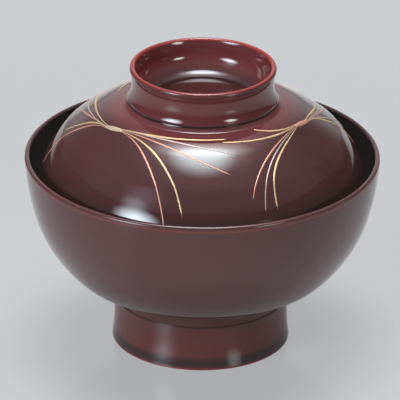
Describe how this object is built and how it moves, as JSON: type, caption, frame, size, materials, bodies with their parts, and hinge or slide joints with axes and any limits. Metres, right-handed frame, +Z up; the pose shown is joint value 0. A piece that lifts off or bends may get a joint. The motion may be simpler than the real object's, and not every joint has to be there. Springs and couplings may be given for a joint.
{
  "type": "lacquer soup bowl with lid",
  "caption": "Footed soup bowl of turned, lacquered wood with a domed lid that seats inside the lip and has a grip ring and raised pine-needle sprays.",
  "frame": {"origin": "centre of the foot's underside, on the table", "axes": "+Z up along the axis of the bowl and the lid, -Y towards the side with the two sprays that the picture shows"},
  "size_m": [0.121, 0.121, 0.1],
  "materials": {
    "brown_lacquered_wood": "translucent red-brown lacquer, polished, redder where it thins on sharp edges",
    "black_lacquer": "black lacquer, polished",
    "gold_powder": "gold powder laid on raised lacquer, softly burnished",
    "silver_powder": "silver powder laid on raised lacquer, softly burnished",
    "red_gold_powder": "gold powder over red lacquer, softly burnished",
    "pale_gold_powder": "pale gold powder laid on raised lacquer, softly burnished"
  },
  "bodies": {
    "bowl": {"bowl": "brown_lacquered_wood", "bowl_lining": "black_lacquer"},
    "lid": {"lid": "brown_lacquered_wood", "lid_lining": "black_lacquer", "left_gold_needles": "gold_powder", "left_silver_needles": "silver_powder", "left_red_gold_needles": "red_gold_powder", "left_tie": "pale_gold_powder", "right_gold_needles": "gold_powder", "right_silver_needles": "silver_powder", "right_red_gold_needles": "red_gold_powder", "right_tie": "red_gold_powder", "back_gold_needles": "gold_powder", "back_silver_needles": "silver_powder", "back_red_gold_needles": "red_gold_powder", "back_tie": "silver_powder"}
  },
  "joints": [
    {"name": "lid_lift", "type": "slide", "parent": "bowl", "child": "lid", "axis": [0, 0, 1], "range_m": [0, 0.08]}
  ]
}
